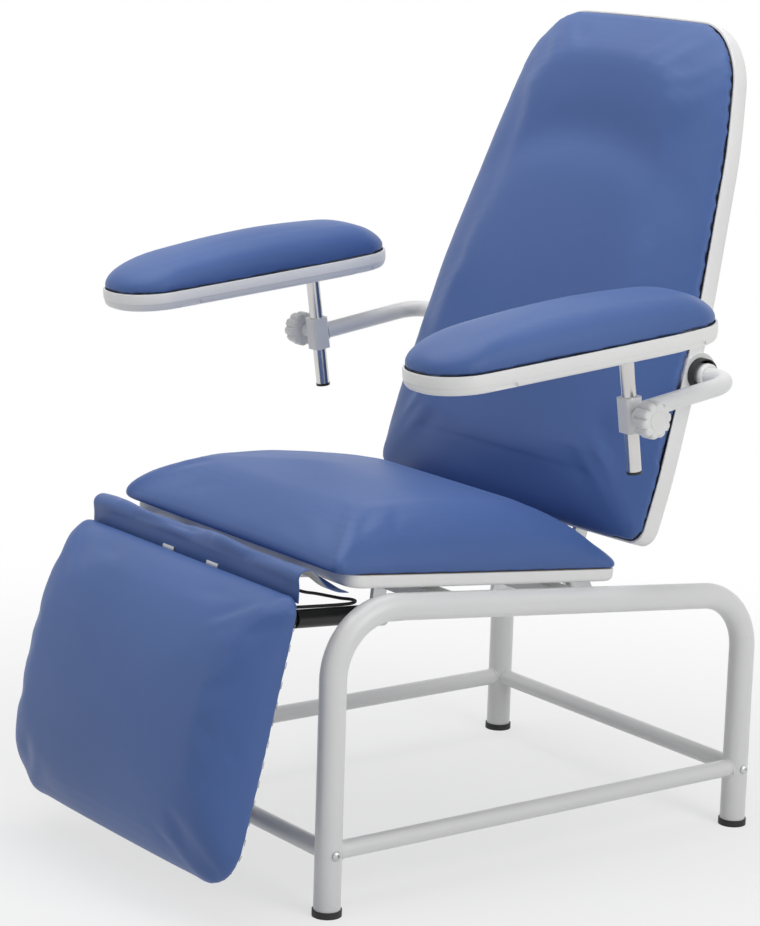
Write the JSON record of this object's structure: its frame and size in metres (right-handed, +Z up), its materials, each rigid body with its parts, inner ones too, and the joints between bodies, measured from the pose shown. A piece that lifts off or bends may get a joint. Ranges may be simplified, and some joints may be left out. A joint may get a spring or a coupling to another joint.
{
  "type": "phlebotomy chair",
  "caption": "Reclining blood-draw chair: bent tube base, padded seat and backrest, linked leg rest and padded arm rests that slide, swivel and lift.",
  "frame": {"origin": "on the floor under the middle of the bounding box", "axes": "+Z up, -Y to the chair's front, +X to the sitter's left"},
  "size_m": [0.9656, 1.022, 1.2597],
  "materials": {
    "white_paint": "satin powder coat",
    "white_plastic": "smooth moulded",
    "blue_vinyl": "satin grained vinyl on foam",
    "black_plastic": "matte",
    "black_rubber": "matte",
    "steel": "zinc plated",
    "black_steel": "satin black",
    "chrome": "polished",
    "plywood": "plain birch ply"
  },
  "bodies": {
    "base": {"side_frame_left": "white_paint", "side_frame_right": "white_paint", "side_rail_left": "white_paint", "side_rail_right": "white_paint", "front_cross_rail": "white_paint", "rear_cross_rail": "white_paint", "foot_caps": "black_rubber", "frame_screws": "steel", "seat_beam_front": "white_paint", "seat_beam_rear": "white_paint", "seat_rail_left": "steel", "seat_rail_right": "steel", "seat_tray": "white_plastic", "seat_board": "plywood", "seat_cushion": "blue_vinyl", "seat_screws": "steel", "leg_hinge_shaft": "steel", "back_hinge_pins": "steel", "hinge_apron": "blue_vinyl", "gas_cylinder": "black_steel", "gas_hangers": "steel", "release_cable": "black_rubber", "release_bracket": "steel"},
    "release": {"release_lever": "black_plastic"},
    "leg_rest": {"leg_frame": "steel", "leg_lever": "steel", "leg_board": "plywood", "leg_cushion": "blue_vinyl", "leg_screws": "steel"},
    "backrest": {"back_cross_tube": "steel", "back_arm_left": "steel", "back_arm_right": "steel", "gas_lever": "steel", "link_lever": "steel", "back_board": "plywood", "back_cushion": "blue_vinyl", "back_shell": "white_plastic", "back_screws": "steel", "arm_socket_tubes": "white_paint", "socket_liners": "black_plastic"},
    "link": {"link_rod": "steel", "link_pins": "steel"},
    "gas_piston": {"gas_rod": "chrome"},
    "arm_left": {"arm_tube_left": "white_paint", "arm_clamp_left": "white_paint"},
    "knob_left": {"arm_knob_left": "white_plastic"},
    "post_left": {"arm_post_left": "chrome", "post_cap_left": "black_plastic"},
    "pad_left": {"pad_mount_left": "steel", "arm_shell_left": "white_plastic", "arm_cushion_left": "blue_vinyl"},
    "arm_right": {"arm_tube_right": "white_paint", "arm_clamp_right": "white_paint"},
    "knob_right": {"arm_knob_right": "white_plastic"},
    "post_right": {"arm_post_right": "chrome", "post_cap_right": "black_plastic"},
    "pad_right": {"pad_mount_right": "steel", "arm_shell_right": "white_plastic", "arm_cushion_right": "blue_vinyl"}
  },
  "joints": [
    {"name": "recline", "type": "hinge", "parent": "base", "child": "backrest", "pos_m": [0, 0.25258, 0.442], "axis": [-1, 0, 0], "range_deg": [0, 60]},
    {"name": "leg_rest_swing", "type": "hinge", "parent": "base", "child": "leg_rest", "pos_m": [0, -0.33042, 0.476], "axis": [-1, 0, 0], "range_deg": [0, 60], "deforming": ["hinge_apron"]},
    {"name": "link_pivot", "type": "hinge", "parent": "backrest", "child": "link", "pos_m": [0, 0.29008, 0.37705], "axis": [-1, 0, 0], "range_deg": [-60, 0]},
    {"name": "gas_stroke", "type": "slide", "parent": "base", "child": "gas_piston", "axis": [0, -0.9975, 0.0706], "range_m": [0, 0.09699]},
    {"name": "release_pull", "type": "hinge", "parent": "base", "child": "release", "pos_m": [-0.252, -0.17411, 0.44182], "axis": [1, 0, 0], "range_deg": [0, 20], "stiffness_Nm_per_rad": 2, "springref_deg": -28.65},
    {"name": "arm_pitch_left", "type": "hinge", "parent": "backrest", "child": "arm_left", "pos_m": [0, 0.3445, 0.74155], "axis": [1, 0, 0], "range_deg": [-80, 60]},
    {"name": "pad_height_left", "type": "slide", "parent": "arm_left", "child": "post_left", "axis": [0, -0.1495, 0.9888], "range_m": [-0.05, 0.05]},
    {"name": "pad_swivel_left", "type": "hinge", "parent": "post_left", "child": "pad_left", "pos_m": [0.397, 0.14289, 0.71106], "axis": [0, -0.1495, 0.9888], "range_deg": [-8, 45]},
    {"name": "knob_turn_left", "type": "hinge", "parent": "arm_left", "child": "knob_left", "pos_m": [0.397, 0.14289, 0.71106], "axis": [1, 0, 0], "range_deg": [0, 270]},
    {"name": "arm_pitch_right", "type": "hinge", "parent": "backrest", "child": "arm_right", "pos_m": [0, 0.3445, 0.74155], "axis": [1, 0, 0], "range_deg": [-80, 60]},
    {"name": "pad_height_right", "type": "slide", "parent": "arm_right", "child": "post_right", "axis": [0, -0.1495, 0.9888], "range_m": [-0.05, 0.05]},
    {"name": "pad_swivel_right", "type": "hinge", "parent": "post_right", "child": "pad_right", "pos_m": [-0.397, 0.14289, 0.71106], "axis": [0, 0.1495, -0.9888], "range_deg": [-8, 45]},
    {"name": "knob_turn_right", "type": "hinge", "parent": "arm_right", "child": "knob_right", "pos_m": [-0.397, 0.14289, 0.71106], "axis": [-1, 0, 0], "range_deg": [0, 270]}
  ],
  "couplings": [
    {"joint": "leg_rest_swing", "follows": "recline", "ratio": 1},
    {"joint": "link_pivot", "follows": "recline", "ratio": -1},
    {"joint": "gas_stroke", "follows": "recline", "m_per_rad": 0.092623}
  ]
}
